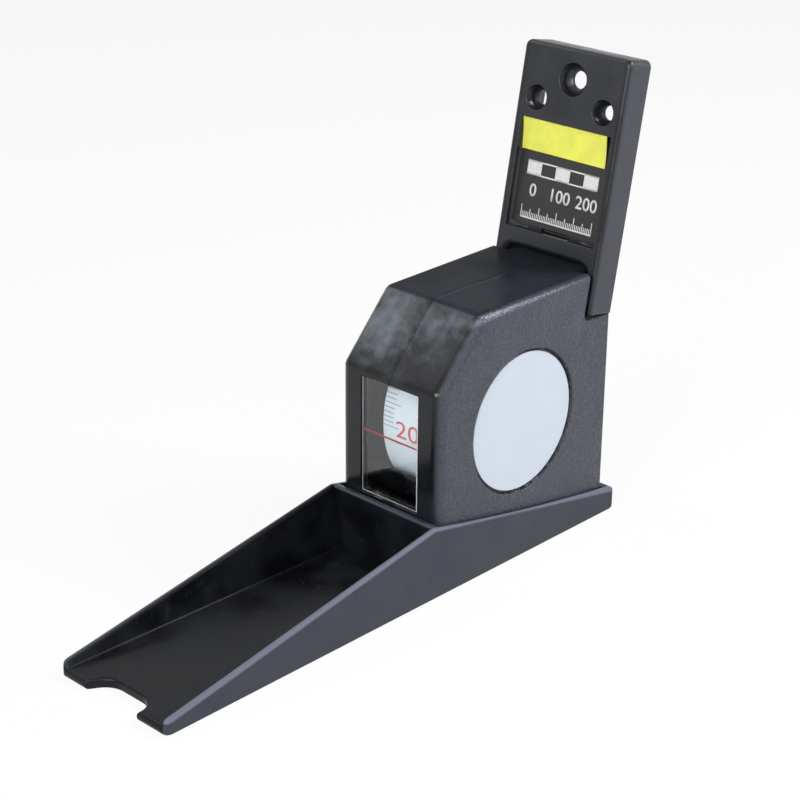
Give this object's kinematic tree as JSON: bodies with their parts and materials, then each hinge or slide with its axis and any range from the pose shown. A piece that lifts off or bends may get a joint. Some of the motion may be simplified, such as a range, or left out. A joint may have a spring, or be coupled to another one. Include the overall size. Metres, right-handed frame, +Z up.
{
  "type": "stadiometer",
  "caption": "Wall stadiometer: a measuring head with a reading window and a spring-wound tape, hung from a tilting wall plate.",
  "frame": {"origin": "on the tray's flat underside, below the middle of the case's back", "axes": "+Z up the wall, +Y towards the wall, the tray reaches out along -Y, +X to the right seen from the front"},
  "size_m": [0.0394, 0.1729, 0.1285],
  "materials": {
    "tray_plastic": "satin moulded ABS, rims polished by handling",
    "case_plastic": "spark-eroded grain on the sides, smoother on front and top",
    "plate_plastic": "satin moulded ABS",
    "pane": "clear pane",
    "red_ink": "printed line",
    "disc": "pale silver-blue, slightly satin",
    "screw_steel": "zinc plated",
    "bright_steel": "ground",
    "drum_plastic": "natural acetal",
    "spring_steel": "blued strip",
    "tape": "white coated tape with printed scale",
    "clip_steel": "dark folded sheet",
    "rivet_brass": "tubular rivets",
    "label_dark": "printed card",
    "label_yellow": "plain yellow card"
  },
  "bodies": {
    "head": {"head_paddle": "tray_plastic", "case_left": "case_plastic", "case_right": "case_plastic", "window": "pane", "reading_line": "red_ink", "disc_left": "disc", "disc_right": "disc", "case_screws": "screw_steel", "paddle_screws": "screw_steel", "spindle": "bright_steel", "power_spring": "spring_steel", "tape_run": "tape"},
    "spool": {"drum": "drum_plastic", "drum_cap": "drum_plastic", "tape_coil": "tape"},
    "tape": {"tape_lead": "tape", "tape_clip": "clip_steel", "tape_rivets": "rivet_brass"},
    "plate": {"wall_plate": "plate_plastic", "hinge_pin": "bright_steel", "label_card": "label_dark", "yellow_strip": "label_yellow"}
  },
  "joints": [
    {"name": "tape_draw", "type": "slide", "parent": "head", "child": "tape", "axis": [0, 0, 1], "range_m": [0, 2], "stiffness_N_per_m": 0.6, "springref_m": -1.5, "deforming": ["tape_lead"]},
    {"name": "plate_tilt", "type": "hinge", "parent": "tape", "child": "plate", "pos_m": [0, -0.0025, 0.07705], "axis": [1, 0, 0], "range_deg": [0, 10.5]},
    {"name": "spool_spin", "type": "hinge", "parent": "head", "child": "spool", "pos_m": [0, -0.0347, 0.0386], "axis": [1, 0, 0], "range_deg": [0, 4700]}
  ],
  "couplings": [
    {"joint": "spool_spin", "follows": "tape_draw", "rad_per_m": 40.9}
  ]
}
